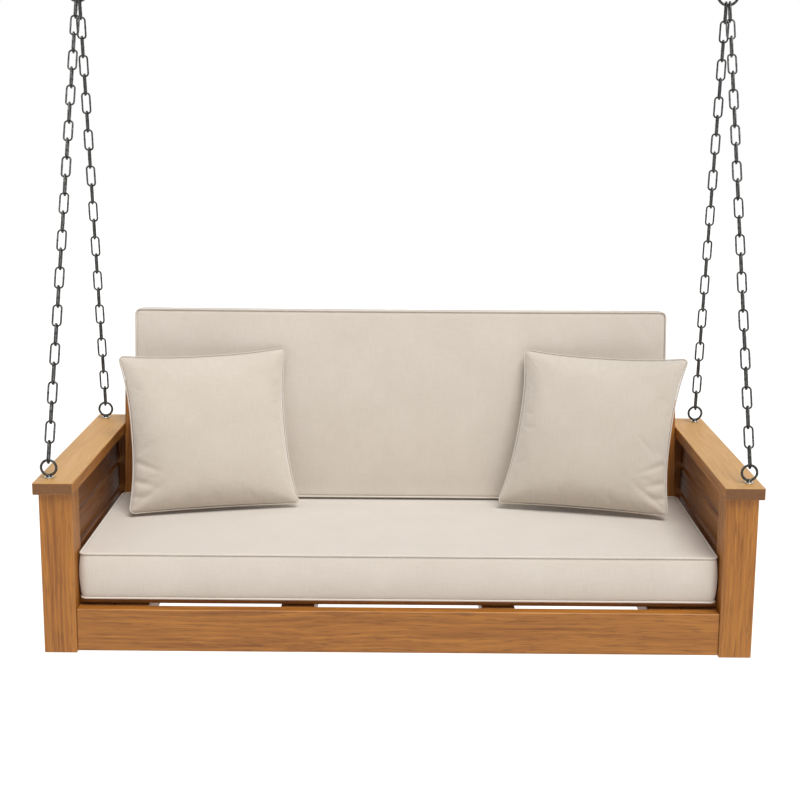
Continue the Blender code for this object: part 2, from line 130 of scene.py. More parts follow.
# Folds beside each pillow's lower outer corner: place on the rim from -1 to 1 up the side, the
# slope of the fold as it runs inward, its length in half widths and its depth in metres.
PILLOW_FOLDS = ((-0.36, -0.50, 0.30, 0.0090), (-0.60, -0.35, 0.22, 0.0100),
                (-0.80, -0.10, 0.16, 0.0080), (-0.94, 0.70, 0.34, 0.0070))
FOLD_WIDTH = 0.034              # in half widths
FOLD_START = 0.15               # share of its length over which a fold deepens

# Turns a cover that lies flat so that it stands, its top panel to the front.
STANDING = np.array([[1.0, 0.0, 0.0], [0.0, 0.0, 1.0], [0.0, -1.0, 0.0]])

# Studio
SKY_LIGHT = 0.38                # what the white surround lights matt surfaces with
SUN_LIGHT = 3.0
SUN_AZIMUTH = 32                # degrees from the front towards the right
SUN_ELEVATION = 66
SUN_SPREAD = 34
FLOOR_DROP = 2.40               # below the posts' feet
FLOOR_RADIUS = 60.0

RANDOM = np.random.default_rng(7)


# ---------------------------------------------------------------------------------------------
# Meshes


def unit(vectors):
    """Each vector divided by its length."""
    return vectors / np.linalg.norm(vectors, axis=-1, keepdims=True)


def grid_quads(rows, columns, close_rows=False, close_columns=False):
    """Corner numbers of the quads of a grid whose points run along the columns first."""
    row = np.arange(rows if close_rows else rows - 1)[:, None]
    column = np.arange(columns if close_columns else columns - 1)[None, :]
    below = (row + 1) % rows
    right = (column + 1) % columns
    corners = (row * columns + column, row * columns + right,
               below * columns + right, below * columns + column)
    return np.stack(np.broadcast_arrays(*corners), -1).reshape(-1, 4)


def make_piece(name, points, faces, finish, body, replaced=(), corner_uv=None, marks=None,
               merge=0.0):
    """A smooth mesh object at the origin. corner_uv has one place per face corner, in metres, and
    marks are named values, one per point, that the material reads."""
    mesh = bpy.data.meshes.new(name)
    mesh.from_pydata(points.tolist(), [], [list(face) for face in faces])
    for key, values in (marks or {}).items():
        values = np.asarray(values, np.float32)
        kind = "FLOAT" if values.ndim == 1 else "FLOAT_VECTOR"
        field = mesh.attributes.new(key, kind, "POINT")
        field.data.foreach_set("value" if values.ndim == 1 else "vector", values.ravel())
    if corner_uv is not None:
        layer = mesh.uv_layers.new(name="cloth")
        layer.data.foreach_set("uv", np.asarray(corner_uv, np.float32).ravel())
    if merge:
        close_seams(mesh, merge)
    mesh.shade_smooth()
    mesh.materials.append(finish)
    piece = bpy.data.objects.new(name, mesh)
    bpy.context.scene.collection.objects.link(piece)
    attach(piece, body)
    if replaced:
        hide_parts(*replaced)
    return piece


def close_seams(mesh, distance):
    """Makes one point of the points that meet at poles and seams."""
    shape = bmesh.new()
    shape.from_mesh(mesh)
    bmesh.ops.remove_doubles(shape, verts=shape.verts, dist=distance)
    bmesh.ops.dissolve_degenerate(shape, edges=shape.edges, dist=distance)
    bmesh.ops.recalc_face_normals(shape, faces=shape.faces)
    shape.to_mesh(mesh)
    shape.free()


def join_parts(parts):
    """Several (points, faces) as one pair, each part's faces counted on from the last part's."""
    points = np.concatenate([part[0] for part in parts])
    starts = np.cumsum([0] + [len(part[0]) for part in parts[:-1]])
    faces = np.concatenate([part[1] + start for part, start in zip(parts, starts)])
    return points, faces


def tube(path, radii, across, closed=False, sides=WIRE_SIDES):
    """A circle carried along a path. At each station the circle lies in the plane of `across`, a
    vector square to the path's own plane, and of the cross product of `across` and the tangent:
    point = path + radius * (cos a * side + sin a * across)."""
    path = np.asarray(path, float)
    ahead = np.roll(path, -1, 0) - np.roll(path, 1, 0)
    if not closed:
        ahead[0] = path[1] - path[0]
        ahead[-1] = path[-1] - path[-2]
    across = np.broadcast_to(across, path.shape)
    side = unit(np.cross(unit(ahead), across))
    up = unit(np.cross(side, unit(ahead)))
    angle = np.arange(sides) * 2 * np.pi / sides
    radii = np.broadcast_to(radii, len(path))[:, None, None]
    ring = np.cos(angle)[None, :, None] * side[:, None] + np.sin(angle)[None, :, None] * up[:, None]
    points = path[:, None] + radii * ring
    return points.reshape(-1, 3), grid_quads(len(path), sides, closed, True)


def round_ends(path, radius, steps=4):
    """Adds a half ball to each end of an open path: the radius falls as the cosine while the
    station moves on by the sine. Returns the longer path and its radii."""
    path = np.asarray(path, float)
    angle = np.linspace(0, np.pi / 2, steps + 1)[1:]
    first = unit(path[0] - path[1])
    last = unit(path[-1] - path[-2])
    head = path[0] + radius * np.sin(angle)[::-1, None] * first
    tail = path[-1] + radius * np.sin(angle)[:, None] * last
    fall = radius * np.maximum(np.cos(angle), 0.002)
    radii = np.concatenate([fall[::-1], np.full(len(path), radius), fall])
    return np.concatenate([head, path, tail]), radii


def lathe(profile, middle, sides=32):
    """A profile of (radius, height) pairs turned round the upright axis through `middle`."""
    profile = np.asarray(profile, float)
    angle = np.arange(sides) * 2 * np.pi / sides
    points = np.stack([profile[:, :1] * np.cos(angle), profile[:, :1] * np.sin(angle),
                       np.broadcast_to(profile[:, 1:], (len(profile), sides))], -1)
    return (points + middle).reshape(-1, 3), grid_quads(len(profile), sides, False, True)


# ---------------------------------------------------------------------------------------------
# Materials


def linear(hex_colour):
    """An sRGB hex colour in linear light, with alpha 1."""
    channels = [int(hex_colour[i:i + 2], 16) / 255 for i in (1, 3, 5)]
    light = [c / 12.92 if c <= 0.04045 else ((c + 0.055) / 1.055) ** 2.4 for c in channels]
    return (*light, 1.0)


def new_material(name, colour):
    """An empty material with its shader, and the colour that a plain view shows."""
    finish = bpy.data.materials.new(name)
    finish.use_nodes = True
    finish.diffuse_color = linear(colour)
    tree = finish.node_tree
    tree.nodes.clear()
    shader = tree.nodes.new("ShaderNodeBsdfPrincipled")
    output = tree.nodes.new("ShaderNodeOutputMaterial")
    tree.links.new(shader.outputs[0], output.inputs["Surface"])
    return finish, tree, shader


def add_node(tree, kind, inputs=None, output=0, **settings):
    """Adds a node with its settings, gives each input a value or a link, and returns an output."""
    node = tree.nodes.new("ShaderNode" + kind)
    for key, value in settings.items():
        setattr(node, key, value)
    for key, value in (inputs or {}).items():
        if isinstance(value, bpy.types.NodeSocket):
            tree.links.new(value, node.inputs[key])
        else:
            node.inputs[key].default_value = value
    return node.outputs[output]


def oiled_teak():
    """Teak, planed and oiled: golden brown, with fine dark streaks along the grain, wider bands
    where a saw cut runs along the growth rings, and short pores. Sanded edges are paler, and the
    oil leaves a satin surface that is duller in the streaks. The point value `grain` is the place
    in the log, x along it, `board` is how much darker than the palest board this one is, a random
    tone of each board plus painted shade on the arm slats and bearers, and end grain drinks more
    oil, which makes it browner. The mark for faces that point up is a painted highlight: the sky's
    sheen on the arm boards' tops, painted into their colour."""
    finish, tree, shader = new_material("oiled_teak", "#A9713F")
    place = add_node(tree, "Attribute", output="Vector", attribute_name="grain")
    board = add_node(tree, "Attribute", output="Fac", attribute_name="board")
    edge = add_node(tree, "Attribute", output="Fac", attribute_name="edge")
    end_grain = add_node(tree, "Attribute", output="Fac", attribute_name="end_grain")
    # Painted highlight: how much a face points up, where the sky's sheen on the tops is painted in.
    painted_top_sheen = add_node(tree, "Attribute", output="Fac", attribute_name="painted_top_sheen")

    bend = add_node(tree, "Mapping", {"Vector": place, "Scale": (1.5, 6.0, 6.0)})
    drift = add_node(tree, "TexNoise", {"Vector": bend, "Scale": 1.0, "Detail": 1.0},
                     output="Color")
    swept = add_node(tree, "VectorMath", {0: drift, 1: (0.0, 0.055, 0.055), 2: place},
                     operation="MULTIPLY_ADD")
    ring_scale = 1 / RING_WIDTH
    log = add_node(tree, "Mapping", {"Vector": swept,
                                     "Scale": (0.030 * ring_scale, ring_scale, ring_scale)})
    rings = add_node(tree, "TexWave", {"Vector": log, "Scale": 0.314, "Distortion": 7.5,
                                       "Detail": 3.0, "Detail Scale": 0.16,
                                       "Detail Roughness": 0.5},
                     wave_type="RINGS", rings_direction="X", wave_profile="SAW")
    sharp_rings = add_node(tree, "Math", {0: rings, 1: 1.8}, operation="POWER")
    along = add_node(tree, "Mapping", {"Vector": swept, "Scale": (3.4, 95.0, 95.0)})
    streaks = add_node(tree, "TexNoise", {"Vector": along, "Scale": 1.0, "Detail": 5.0,
                                          "Roughness": 0.66, "Distortion": 0.6})
    wide = add_node(tree, "Mapping", {"Vector": place, "Scale": (1.4, 17.0, 17.0)})
    clouds = add_node(tree, "TexNoise", {"Vector": wide, "Scale": 1.0, "Detail": 3.0,
                                         "Roughness": 0.55})
    short = add_node(tree, "Mapping", {"Vector": swept, "Scale": (15.0, 330.0, 330.0)})
    pore_noise = add_node(tree, "TexNoise", {"Vector": short, "Scale": 1.0, "Detail": 1.0})
    pores = add_node(tree, "MapRange", {"Value": pore_noise, "From Min": 0.56, "From Max": 0.72})

    figure = add_node(tree, "MapRange", {"Value": streaks, "From Min": 0.29, "From Max": 0.64})
    wood = add_node(tree, "Mix", {0: figure, 6: linear("#7A420D"), 7: linear("#B47326")},
                    output=2, data_type="RGBA")
    ring_share = add_node(tree, "Math", {0: sharp_rings, 1: 0.40}, operation="MULTIPLY")
    ringed = add_node(tree, "Mix", {0: ring_share, 6: wood, 7: linear("#66370C")}, output=2,
                      data_type="RGBA")
    cloud_share = add_node(tree, "MapRange", {"Value": clouds, "From Min": 0.35, "From Max": 0.68,
                                              "To Max": 0.55})
    warm = add_node(tree, "Mix", {0: cloud_share, 6: ringed, 7: linear("#B8782B")}, output=2,
                    data_type="RGBA")
    # The board value mixes toward dark brown: a random tone per board, plus painted shade on the
    # arm slats and bearers.
    toned = add_node(tree, "Mix", {0: board, 6: warm, 7: linear("#603414")}, output=2,
                     data_type="RGBA")
    pore_share = add_node(tree, "Math", {0: pores, 1: 0.50}, operation="MULTIPLY")
    pored = add_node(tree, "Mix", {0: pore_share, 6: toned, 7: linear("#54300F")}, output=2,
                     data_type="RGBA")
    end_share = add_node(tree, "Math", {0: end_grain, 1: 0.72}, operation="MULTIPLY")
    ended = add_node(tree, "Mix", {0: end_share, 6: pored, 7: linear("#5A3A20")}, output=2,
                     data_type="RGBA")
    # Painted highlight: faces that point up are mixed toward pale tan, the sky's reflection on the
    # tops painted into the colour.
    painted_top_sheen_share = add_node(tree, "Math", {0: painted_top_sheen, 1: 0.55}, operation="MULTIPLY")
    with_painted_top_sheen = add_node(tree, "Mix", {0: painted_top_sheen_share, 6: ended, 7: linear("#C8A05E")}, output=2,
                        data_type="RGBA")
    edge_share = add_node(tree, "Math", {0: edge, 1: 0.30}, operation="MULTIPLY")
    colour = add_node(tree, "Mix", {0: edge_share, 6: with_painted_top_sheen, 7: linear("#CFA06C")}, output=2,
                      data_type="RGBA")
    tree.links.new(colour, shader.inputs["Base Color"])
    dull = add_node(tree, "MapRange", {"Value": streaks, "From Min": 0.3, "From Max": 0.7,
                                       "To Min": 0.54, "To Max": 0.40})
    tree.links.new(dull, shader.inputs["Roughness"])
    relief = add_node(tree, "Math", {0: pores, 1: -0.8, 2: streaks}, operation="MULTIPLY_ADD")
    bump = add_node(tree, "Bump", {"Height": relief, "Strength": 0.35, "Distance": 0.0008})
    tree.links.new(bump, shader.inputs["Normal"])
    shader.inputs["IOR"].default_value = 1.5
    return finish


def woven_canvas(name, colour, shade, turn=0.0):
    """Cotton and linen canvas, plain weave: slubs, the thicker stretches of a thread, give short
    pale and dark strokes both ways, the surface is matt, and loose fibres catch light at a low
    angle. The cloth's own map is in metres, so the threads follow the cover."""
    finish, tree, shader = new_material(name, colour)
    cloth = add_node(tree, "UVMap", uv_map="cloth")
    threads = 1 / THREAD
    laid = add_node(tree, "Mapping", {"Vector": cloth, "Rotation": (0, 0, turn),
                                      "Scale": (threads, threads, threads)})
    warp = add_node(tree, "TexWave", {"Vector": laid, "Scale": 0.314, "Distortion": 0.6,
                                      "Detail": 1.0}, bands_direction="X")
    weft = add_node(tree, "TexWave", {"Vector": laid, "Scale": 0.314, "Distortion": 0.6,
                                      "Detail": 1.0}, bands_direction="Y")
    weave = add_node(tree, "Math", {0: warp, 1: weft}, operation="MULTIPLY")
    strokes = []
    for stretch in ((0.035, 0.8, 1.0), (0.8, 0.035, 1.0)):
        drawn = add_node(tree, "Mapping", {"Vector": laid, "Scale": stretch})
        strokes.append(add_node(tree, "TexNoise", {"Vector": drawn, "Scale": 1.0, "Detail": 2.0,
                                                   "Roughness": 0.6}))
    slubs = add_node(tree, "Math", {0: strokes[0], 1: strokes[1]}, operation="ADD")
    slub_share = add_node(tree, "MapRange", {"Value": slubs, "From Min": 0.72, "From Max": 1.28})
    patches = add_node(tree, "TexNoise", {"Vector": cloth, "Scale": 7.0, "Detail": 2.0})
    patch_share = add_node(tree, "MapRange", {"Value": patches, "From Min": 0.3, "From Max": 0.7,
                                              "To Max": 0.35})
    mixed = add_node(tree, "Math", {0: slub_share, 1: 0.65, 2: patch_share},
                     operation="MULTIPLY_ADD")
    tone = add_node(tree, "Mix", {0: mixed, 6: linear(shade), 7: linear(colour)}, output=2,
                    data_type="RGBA")
    tree.links.new(tone, shader.inputs["Base Color"])
    height = add_node(tree, "Math", {0: slub_share, 1: 0.8, 2: weave}, operation="MULTIPLY_ADD")
    bump = add_node(tree, "Bump", {"Height": height, "Strength": 0.30, "Distance": 0.0004})
    tree.links.new(bump, shader.inputs["Normal"])
    shader.inputs["Roughness"].default_value = 0.92
    shader.inputs["Sheen Weight"].default_value = 0.85
    shader.inputs["Sheen Roughness"].default_value = 0.5
    shader.inputs["Specular IOR Level"].default_value = 0.25
    return finish


def forged_metal(name, colour, worn, roughness, speck):
    """Steel under a thin finish: the colour breaks up where handling has polished it, and the
    drawn wire keeps a faint grain that spreads the highlight."""
    finish, tree, shader = new_material(name, colour)
    place = add_node(tree, "TexCoord", output="Object")
    grit = add_node(tree, "TexNoise", {"Vector": place, "Scale": 1 / speck, "Detail": 3.0,
                                       "Roughness": 0.6})
    share = add_node(tree, "MapRange", {"Value": grit, "From Min": 0.40, "From Max": 0.72})
    tone = add_node(tree, "Mix", {0: share, 6: linear(colour), 7: linear(worn)}, output=2,
                    data_type="RGBA")
    tree.links.new(tone, shader.inputs["Base Color"])
    dull = add_node(tree, "MapRange", {"Value": grit, "From Min": 0.3, "From Max": 0.7,
                                       "To Min": roughness + 0.08, "To Max": roughness - 0.08})
    tree.links.new(dull, shader.inputs["Roughness"])
    bump = add_node(tree, "Bump", {"Height": grit, "Strength": 0.25, "Distance": 0.0003})
    tree.links.new(bump, shader.inputs["Normal"])
    shader.inputs["Metallic"].default_value = 1.0
    return finish


def painted_floor():
    """A matt studio floor, near white, with the faint cloudiness of rolled paint."""
    finish, tree, shader = new_material("matt_floor_paint", "#FAFAF9")
    place = add_node(tree, "TexCoord", output="Object")
    cloud = add_node(tree, "TexNoise", {"Vector": place, "Scale": 1.5, "Detail": 3.0})
    tone = add_node(tree, "Mix", {0: cloud, 6: linear("#F9F8F7"), 7: linear("#FCFCFB")}, output=2,
                    data_type="RGBA")
    tree.links.new(tone, shader.inputs["Base Color"])
    shader.inputs["Roughness"].default_value = 0.85
    shader.inputs["Specular IOR Level"].default_value = 0.1
    return finish


TEAK = oiled_teak()
SEAT_CANVAS = woven_canvas("oatmeal_canvas", "#D5CBBF", "#C9BEB1")
PILLOW_CANVAS = woven_canvas("oatmeal_canvas_pillow", "#CCC2B5", "#BFB4A6")
WELT_CANVAS = woven_canvas("bias_cut_welt_canvas", "#DBD1C5", "#CBC0B2", turn=math.radians(45))
DARK_STEEL = forged_metal("blackened_steel", "#2F2F2D", "#6A6967", 0.40, 0.004)
ZINC = forged_metal("zinc_plated_steel", "#B9B8B2", "#D6D5D0", 0.30, 0.003)


# ---------------------------------------------------------------------------------------------
# Wood


def rounded_board(low, high, radius):
    """A box with sanded edges: every point is a corner of the inner box plus the edge radius times
    its outward direction (cos t cos a, cos t sin a, sin t), where a runs round the board and t
    from one end to the other. Each quarter of a, and each half of t, keeps its own inner corner,
    so the flats lie between them. Returns points, faces and outward directions."""
    low, high = np.asarray(low, float), np.asarray(high, float)
    quarter = np.linspace(0, np.pi / 2, EDGE_STEPS + 1)
    round_angle = (np.arange(4)[:, None] * np.pi / 2 + quarter).ravel()
    round_sign = np.repeat(np.array([[1, 1], [-1, 1], [-1, -1], [1, -1]]), EDGE_STEPS + 1, 0)
    end_angle = np.concatenate([quarter - np.pi / 2, quarter])
    end_sign = np.repeat([-1, 1], EDGE_STEPS + 1)
    outward = np.stack(np.broadcast_arrays(
        np.cos(end_angle)[:, None] * np.cos(round_angle),
        np.cos(end_angle)[:, None] * np.sin(round_angle),
        np.sin(end_angle)[:, None]), -1)
    sign = np.stack(np.broadcast_arrays(round_sign[None, :, 0], round_sign[None, :, 1],
                                        end_sign[:, None]), -1)
    inner = (high - low) / 2 - radius
    points = (low + high) / 2 + sign * inner + radius * outward
    rows, columns = points.shape[:2]
    faces = grid_quads(rows, columns, False, True)
    first = np.arange(4) * (EDGE_STEPS + 1)
    caps = [list(first[::-1]), list(first + (rows - 1) * columns)]
    return points.reshape(-1, 3), faces.tolist() + caps, outward.reshape(-1, 3)


def lean_turn(angle):
    """The matrix that tips a standing board back by an angle about the X axis."""
    c, s = math.cos(angle), math.sin(angle)
    return np.array([[1, 0, 0], [0, c, s], [0, -s, c]])


def own_box(node, turn):
    """The low and high corners of a CAD node, in the axes of a board or cushion that leans."""
    own = np.array([vertex.co for vertex in frame["nodes"][node].data.vertices]) @ turn
    return own.min(0), own.max(0)


def make_board(node, along, radius=BOARD_EDGE, lean=0.0, dark=0.0, painted_top_sheen=0.0):
    """A board in the space of its CAD node. `along` is the axis of its grain, 0 to 2, and `dark` is
    painted shade, added to a random tone of the board. The log's middle lies off the board by a
    random way, which makes each board's figure its own. A point is as far into an edge as its
    outward direction is from the nearest axis, on end grain where that direction runs along the
    grain, and where it points up it gets a painted highlight, the sky's sheen on a top, scaled by
    the last argument."""
    turn = lean_turn(lean)
    low, high = own_box(node, turn)
    points, faces, outward = rounded_board(low, high, radius)
    corner = 1 - math.sqrt(1 / 3)
    order = [along, (along + 1) % 3, (along + 2) % 3]
    centre = (low + high) / 2
    pith = RANDOM.uniform(0.04, 0.12) * np.exp(1j * RANDOM.uniform(0, 2 * np.pi))
    shift = np.array([RANDOM.uniform(0, 8), pith.real, pith.imag])
    # The board value is a random tone plus `dark`, which is painted shade; the last mark is a
    # painted highlight on faces that point up.
    marks = {"grain": (points - centre)[:, order] + shift,
             "board": np.full(len(points), dark + RANDOM.uniform(0, 0.14)),
             "edge": (1 - np.abs(outward).max(-1)) / corner,
             "end_grain": np.abs(outward[:, along]) ** 4,
             "painted_top_sheen": painted_top_sheen * np.clip(outward[:, 2], 0, 1)}
    board = make_piece(f"{node}_wood", points @ turn.T, faces, TEAK, "seat", [node],
                       marks=marks, merge=1e-7)
    weigh = board.modifiers.new("flat_faces", "WEIGHTED_NORMAL")
    weigh.weight = 100


def recline_angle():
    """The back's lean, from the direction in which its cushion lifts off."""
    lift = next(j for j in frame["joints"] if j["name"] == "lift_back_cushion")
    axis = lift["axis"]
    return math.atan2(axis[1], axis[2])


def make_wood():
    """Every board, with the axis of its grain."""
    lean = recline_angle()
    for side, dark in ARM_SLAT_PAINTED_SHADE.items():
        make_board(f"front_post_{side}", 2)
        make_board(f"back_post_{side}", 2)
        # The arm boards' tops carry the painted highlight.
        make_board(f"arm_board_{side}", 1, painted_top_sheen=1.0)
        make_board(f"side_rail_{side}", 1, radius=SLAT_EDGE)
        for place in ("upper", "middle", "lower"):
            make_board(f"arm_slat_{place}_{side}", 1, radius=SLAT_EDGE, dark=dark)
        make_board(f"back_stile_{side}", 2, lean=lean)
        make_board(f"back_middle_stile_{side}", 2, lean=lean)
    make_board("front_rail", 0)
    make_board("back_rail", 0)
    for number in range(1, 5):
        make_board(f"seat_bearer_{number}", 1, dark=BEARER_PAINTED_SHADE)
    for side in ("left", "right"):
        make_board(f"end_bearer_{side}", 1, dark=END_BEARER_PAINTED_SHADE)
    for number in range(1, 8):
        make_board(f"seat_slat_{number}", 0, radius=SLAT_EDGE)
    for number in range(1, 6):
        make_board(f"back_slat_{number}", 0, radius=SLAT_EDGE, lean=lean)


# ---------------------------------------------------------------------------------------------
# Chains and fittings


def link_outline():
    """The middle line of a link's wire as (across, along): a rounded rectangle, corner centres
    plus a radius, and the wire's radius, which swells at the weld on one long side."""
    long_half = LINK_PITCH / 2 + LINK_WIRE
    quarter = np.linspace(0, np.pi / 2, 5)
    angle = (np.arange(4)[:, None] * np.pi / 2 + quarter).ravel()
    corner = np.repeat([[1, 1], [-1, 1], [-1, -1], [1, -1]], 5, 0)
    inner = np.array([LINK_HALF_WIDTH - LINK_END_RADIUS, long_half - LINK_END_RADIUS])
    outline = corner * inner + LINK_END_RADIUS * np.stack([np.cos(angle), np.sin(angle)], -1)
    weld = np.array([[LINK_HALF_WIDTH, -0.004], [LINK_HALF_WIDTH, 0.0], [LINK_HALF_WIDTH, 0.004]])
    outline = np.concatenate([outline, weld])
    radii = np.full(len(outline), LINK_WIRE)
    radii[-2] *= 1.18
    return outline, radii


def make_chain(end, side):
    """Links one pitch apart from the eye's top to the ring's bottom, every second one turned
    square to the last. A link's points are its outline along two directions."""
    node = f"chain_{end}_{side}"
    eye_low, eye_high = map(np.array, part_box(f"eye_screw_{end}_{side}"))
    chain_low, chain_high = map(np.array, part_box(node))
    ring_low, ring_high = map(np.array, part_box(f"hanging_ring_{side}"))
    bottom = (eye_low + eye_high) / 2
    bottom[2] = eye_high[2] - EYE_WIRE
    top = (ring_low + ring_high) / 2
    top[2] = ring_low[2] + RING_WIRE
    middle_x = (chain_low[0] + chain_high[0]) / 2
    top[0] = bottom[0] + 2 * (middle_x - bottom[0])
    along = unit(top - bottom)
    start = bottom - along * EYE_GAP
    count = round(float(np.linalg.norm(top - bottom) + EYE_GAP) / LINK_PITCH)
    edgewise = unit(np.cross(along, (1.0, 0.0, 0.0)))
    facing = unit(np.cross(edgewise, along))
    outline, radii = link_outline()
    parts = []
    for index in range(count):
        across = facing if index % 2 else edgewise
        flip = -1 if index % 4 > 1 else 1
        middle = start + along * (index + 0.5) * LINK_PITCH
        path = middle + outline[:, :1] * across * flip + outline[:, 1:] * along
        parts.append(tube(path, radii, unit(np.cross(along, across)) * flip, True, 8))
    points, faces = join_parts(parts)
    make_piece(f"{node}_links", points, faces, DARK_STEEL, f"chains_{side}", [node])


def circle(middle, radius, steps=48):
    """A circle in the upright plane that faces the front."""
    angle = np.arange(steps) * 2 * np.pi / steps
    return middle + radius * np.stack([np.cos(angle), 0 * angle, np.sin(angle)], -1)


def make_eye(end, side):
    """An eye screw: a ring of wire on a neck with a collar, and a threaded shank in the wood. The
    thread is a profile whose radius goes up and down between root and crest."""
    node = f"eye_screw_{end}_{side}"
    low, high = map(np.array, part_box(node))
    washer_low, washer_high = map(np.array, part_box(f"washer_{end}_{side}"))
    ring_radius = (high[0] - low[0]) / 2 - EYE_WIRE
    middle = (low + high) / 2
    middle[2] = high[2] - EYE_WIRE - ring_radius
    parts = [tube(circle(middle, ring_radius), EYE_WIRE, (0.0, 1.0, 0.0), True)]
    seat = washer_high[2] - middle[2]
    neck_top = -ring_radius + 0.5 * EYE_WIRE
    crest = np.arange(18)
    thread_bottom = low[2] - middle[2]
    thread_z = np.linspace(seat - 0.012, thread_bottom + 0.004, len(crest))
    thread_r = np.where(crest % 2, 0.0040, 0.0031)
    profile = [(0.0, neck_top), (0.0030, neck_top), (0.0040, -ring_radius - 0.6 * EYE_WIRE),
               (0.0072, seat + 0.0016), (0.0076, seat + 0.0008), (0.0072, seat),
               (0.0040, seat - 0.0002)]
    profile += list(zip(thread_r, thread_z)) + [(0.0, thread_bottom)]
    parts.append(lathe(profile, middle, 20))
    points, faces = join_parts(parts)
    make_piece(f"{node}_forged", points, faces, DARK_STEEL, "seat", [node],
               merge=1e-6)
    outer = (washer_high[0] - washer_low[0]) / 2
    thick = washer_high[2] - washer_low[2]
    edge = 0.3 * thick
    profile = [(0.0042, thick), (outer - edge, thick), (outer - 0.3 * edge, thick - 0.3 * edge),
               (outer, thick - edge), (outer, edge), (outer - 0.3 * edge, 0.3 * edge),
               (outer - edge, 0.0), (0.0042, 0.0), (0.0042, thick)]
    base = (washer_low + washer_high) / 2
    base[2] = washer_low[2]
    points, faces = lathe(profile, base, 40)
    make_piece(f"washer_{end}_{side}_plated", points, faces, ZINC, "seat",
               [f"washer_{end}_{side}"], merge=1e-6)


def make_ring(side):
    """A welded ring: a circle of wire that swells a little at the weld."""
    node = f"hanging_ring_{side}"
    low, high = map(np.array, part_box(node))
    middle = (low + high) / 2
    radius = (high[0] - low[0]) / 2 - RING_WIRE
    steps = 56
    turn = np.arange(steps) * 2 * np.pi / steps
    swell = 1 + 0.12 * np.exp(-((turn - 2.4) / 0.12) ** 2)
    path = circle(middle, radius, steps)
    points, faces = tube(path, RING_WIRE * swell, (0.0, 1.0, 0.0), True, 12)
    make_piece(f"{node}_welded", points, faces, DARK_STEEL, "hanger_rings", [node])


def make_hook(side):
    """A ceiling hook: a straight shank, a short bend and most of a circle that carries the ring,
    in a dished plate held by two round-headed screws."""
    node = f"ceiling_hook_{side}"
    low, high = map(np.array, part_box(node))
    plate_low, plate_high = map(np.array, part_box(f"ceiling_plate_{side}"))
    middle = (low + high) / 2
    radius = (high[1] - low[1]) / 2 - HOOK_WIRE
    middle[2] = low[2] + HOOK_WIRE + radius
    angle = np.radians(np.linspace(55, -211, 40))
    arc = radius * np.stack([np.cos(angle), np.sin(angle)], -1)
    top = plate_low[2] - middle[2] + 0.001
    neck = np.array([[0.0, top], [0.0, 0.75 * top + 0.25 * radius], [0.0, radius + 0.013],
                     [0.0008, radius + 0.009], [0.0032, radius + 0.005],
                     [0.0066, radius + 0.0008]])
    line = np.concatenate([neck, arc])
    path = middle + np.stack([0 * line[:, 0], line[:, 0], line[:, 1]], -1)
    path, radii = round_ends(path, HOOK_WIRE)
    points, faces = tube(path, radii, (1.0, 0.0, 0.0), False, 12)
    make_piece(f"{node}_bent", points, faces, DARK_STEEL, "ceiling", [node],
               merge=1e-5)

    rim = (plate_high[0] - plate_low[0]) / 2
    thick = plate_high[2] - plate_low[2]
    base = (plate_low + plate_high) / 2
    base[2] = plate_high[2]
    profile = [(0.0, 0.0), (rim, 0.0), (rim, -0.35 * thick), (rim - 0.0015, -0.6 * thick),
               (rim - 0.005, -0.75 * thick), (0.45 * rim, -0.8 * thick), (0.28 * rim, -thick),
               (0.0, -thick)]
    parts = [lathe(profile, base, 48)]
    head = [(0.0, 0.0), (0.0062, 0.0), (0.0058, -0.0012), (0.0042, -0.0026), (0.002, -0.0033),
            (0.0, -0.0034)]
    for sign in (-1, 1):
        place = base + (sign * 0.7 * rim, 0, -0.75 * thick)
        parts.append(lathe(head, place, 20))
    points, faces = join_parts(parts)
    make_piece(f"ceiling_plate_{side}_pressed", points, faces, DARK_STEEL, "ceiling",
               [f"ceiling_plate_{side}"], merge=1e-6)


def make_metalwork():
    """The four chains and their eye screws, and the two rings and ceiling hooks."""
    for side in ("left", "right"):
        for end in ("front", "back"):
            make_chain(end, side)
            make_eye(end, side)
        make_ring(side)
        make_hook(side)


# ---------------------------------------------------------------------------------------------
# Cushions


def rim_order(rows, columns):
    """Numbers of a grid's border points in order round it, counter-clockwise."""
    bottom = np.arange(columns - 1)
    right = columns - 1 + columns * np.arange(rows - 1)
    top = rows * columns - 1 - np.arange(columns - 1)
    left = (rows - 1 - np.arange(rows - 1)) * columns
    return np.concatenate([bottom, right, top, left])


def round_corners(x, y, half_x, half_y, radius):
    """Bends a rectangle's grid into rounded corners. Inside each corner square, with p and q from
    0 to 1, x becomes p sqrt(1 - q^2 / 2) and y becomes q sqrt(1 - p^2 / 2), which carries the
    square onto a quarter disc and leaves its two inner sides in place."""
    p = np.clip((np.abs(x) - (half_x - radius)) / radius, 0, 1)
    q = np.clip((np.abs(y) - (half_y - radius)) / radius, 0, 1)
    in_corner = (p > 0) & (q > 0)
    new_x = np.sign(x) * (half_x - radius + radius * p * np.sqrt(1 - q * q / 2))
    new_y = np.sign(y) * (half_y - radius + radius * q * np.sqrt(1 - p * p / 2))
    return np.where(in_corner, new_x, x), np.where(in_corner, new_y, y)


